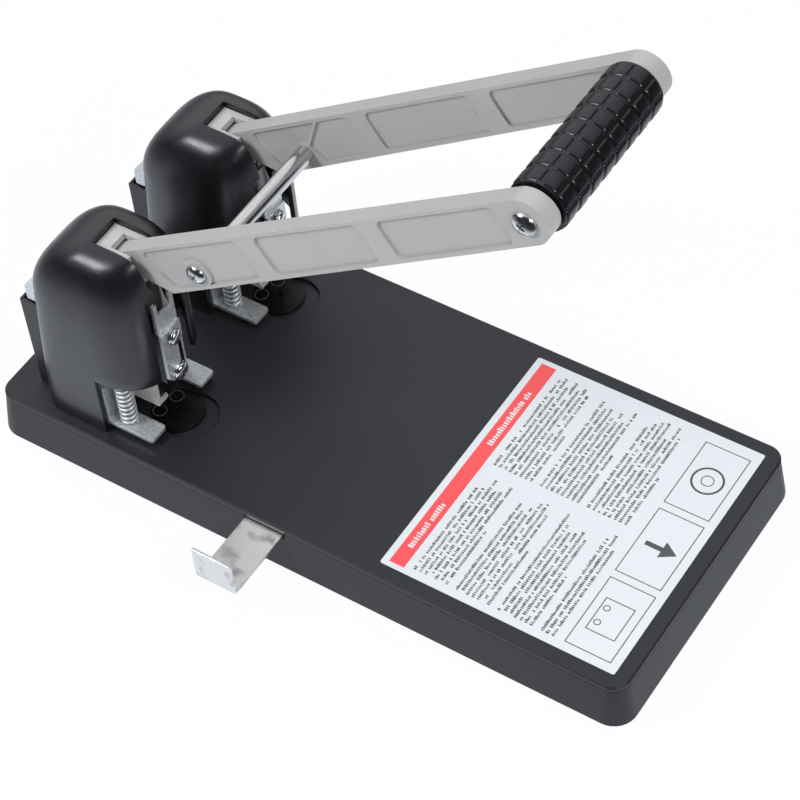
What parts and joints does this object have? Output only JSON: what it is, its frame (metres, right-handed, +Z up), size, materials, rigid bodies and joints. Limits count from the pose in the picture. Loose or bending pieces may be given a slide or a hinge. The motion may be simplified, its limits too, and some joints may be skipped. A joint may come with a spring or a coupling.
{
  "type": "heavy duty hole punch",
  "caption": "Heavy duty desk hole punch: flat steel base, hooded punch heads with sprung paper feet, a long twin-arm lever with a ribbed grip, a sliding side guide and chip boxes.",
  "frame": {"origin": "under the middle of the base, on the table", "axes": "+X towards the lever's grip, +Y towards the right-hand head, +Z up"},
  "size_m": [0.3296, 0.1837, 0.2597],
  "materials": {
    "base_paint": "fine matte texture",
    "plain_steel": "satin",
    "mat_rubber": "matte",
    "screw_steel": "bright plated",
    "sticker_film": "printed film",
    "guide_nickel": "dull nickel",
    "frame_grey": "satin grey",
    "hood_black": "satin gloss",
    "zinc_steel": "zinc plated",
    "pin_steel": "ground",
    "clip_steel": "blackened",
    "box_black": "satin",
    "disc_black": "satin",
    "arm_grey": "satin grey",
    "rod_chrome": "polished",
    "grip_rubber": "satin, raised tiles"
  },
  "bodies": {
    "base": {"base_housing": "base_paint", "base_top": "base_paint", "bottom_plate": "plain_steel", "guide_rail": "plain_steel", "rubber_mat": "mat_rubber", "base_screws": "screw_steel", "frame_screws": "screw_steel", "front_plate_screws": "screw_steel", "sticker": "sticker_film", "frame_left": "frame_grey", "frame_right": "frame_grey", "guide_block_left": "frame_grey", "guide_block_right": "frame_grey", "hood_left": "hood_black", "hood_right": "hood_black", "front_plate_left": "zinc_steel", "front_plate_right": "zinc_steel", "chip_chute_left": "zinc_steel", "chip_chute_right": "zinc_steel", "return_spring_left": "zinc_steel", "return_spring_right": "zinc_steel", "foot_spring_left_outer": "zinc_steel", "foot_spring_left_inner": "zinc_steel", "foot_spring_right_inner": "zinc_steel", "foot_spring_right_outer": "zinc_steel", "pivot_pin_left": "pin_steel", "pivot_pin_right": "pin_steel", "pivot_clips": "clip_steel"},
    "handle": {"arm_left": "arm_grey", "arm_right": "arm_grey", "cross_rod": "rod_chrome", "rod_screws": "screw_steel", "grip": "grip_rubber", "grip_core": "plain_steel", "grip_screws": "screw_steel"},
    "punch_left": {"carriage_left": "pin_steel", "hollow_punch_left": "pin_steel", "drive_pin_left": "pin_steel"},
    "disc_left": {"cutting_disc_left": "disc_black"},
    "box_left": {"chip_box_left": "box_black"},
    "punch_right": {"carriage_right": "pin_steel", "hollow_punch_right": "pin_steel", "drive_pin_right": "pin_steel"},
    "disc_right": {"cutting_disc_right": "disc_black"},
    "box_right": {"chip_box_right": "box_black"},
    "presser_left_outer": {"foot_left_outer": "zinc_steel", "foot_pin_left_outer": "pin_steel"},
    "presser_left_inner": {"foot_left_inner": "zinc_steel", "foot_pin_left_inner": "pin_steel"},
    "presser_right_inner": {"foot_right_inner": "zinc_steel", "foot_pin_right_inner": "pin_steel"},
    "presser_right_outer": {"foot_right_outer": "zinc_steel", "foot_pin_right_outer": "pin_steel"},
    "side_guide": {"paper_guide": "guide_nickel"}
  },
  "joints": [
    {"name": "lever_hinge", "type": "hinge", "parent": "base", "child": "handle", "pos_m": [-0.122, 0, 0.105], "axis": [0, 1, 0], "range_deg": [0, 24], "stiffness_Nm_per_rad": 4, "springref_deg": -57.3},
    {"name": "punch_left_slide", "type": "slide", "parent": "base", "child": "punch_left", "axis": [0, 0, -1], "range_m": [0, 0.01276], "deforming": ["return_spring_left"]},
    {"name": "disc_left_turn", "type": "hinge", "parent": "base", "child": "disc_left", "pos_m": [-0.0839, -0.04, 0.0229], "axis": [0, 0, 1], "continuous": true},
    {"name": "box_left_slide", "type": "slide", "parent": "base", "child": "box_left", "axis": [-1, 0, 0], "range_m": [0, 0.04]},
    {"name": "punch_right_slide", "type": "slide", "parent": "base", "child": "punch_right", "axis": [0, 0, -1], "range_m": [0, 0.01276], "deforming": ["return_spring_right"]},
    {"name": "disc_right_turn", "type": "hinge", "parent": "base", "child": "disc_right", "pos_m": [-0.0839, 0.04, 0.0229], "axis": [0, 0, 1], "continuous": true},
    {"name": "box_right_slide", "type": "slide", "parent": "base", "child": "box_right", "axis": [-1, 0, 0], "range_m": [0, 0.04]},
    {"name": "presser_left_outer_slide", "type": "slide", "parent": "base", "child": "presser_left_outer", "axis": [0, 0, 1], "range_m": [0, 0.011], "stiffness_N_per_m": 300, "springref_m": -0.01, "deforming": ["foot_spring_left_outer"]},
    {"name": "presser_left_inner_slide", "type": "slide", "parent": "base", "child": "presser_left_inner", "axis": [0, 0, 1], "range_m": [0, 0.011], "stiffness_N_per_m": 300, "springref_m": -0.01, "deforming": ["foot_spring_left_inner"]},
    {"name": "presser_right_inner_slide", "type": "slide", "parent": "base", "child": "presser_right_inner", "axis": [0, 0, 1], "range_m": [0, 0.011], "stiffness_N_per_m": 300, "springref_m": -0.01, "deforming": ["foot_spring_right_inner"]},
    {"name": "presser_right_outer_slide", "type": "slide", "parent": "base", "child": "presser_right_outer", "axis": [0, 0, 1], "range_m": [0, 0.011], "stiffness_N_per_m": 300, "springref_m": -0.01, "deforming": ["foot_spring_right_outer"]},
    {"name": "side_guide_slide", "type": "slide", "parent": "base", "child": "side_guide", "axis": [0, -1, 0], "range_m": [-0.028, 0.043]}
  ],
  "couplings": [
    {"joint": "punch_left_slide", "follows": "lever_hinge", "m_per_rad": 0.030446},
    {"joint": "punch_right_slide", "follows": "lever_hinge", "m_per_rad": 0.030446}
  ]
}
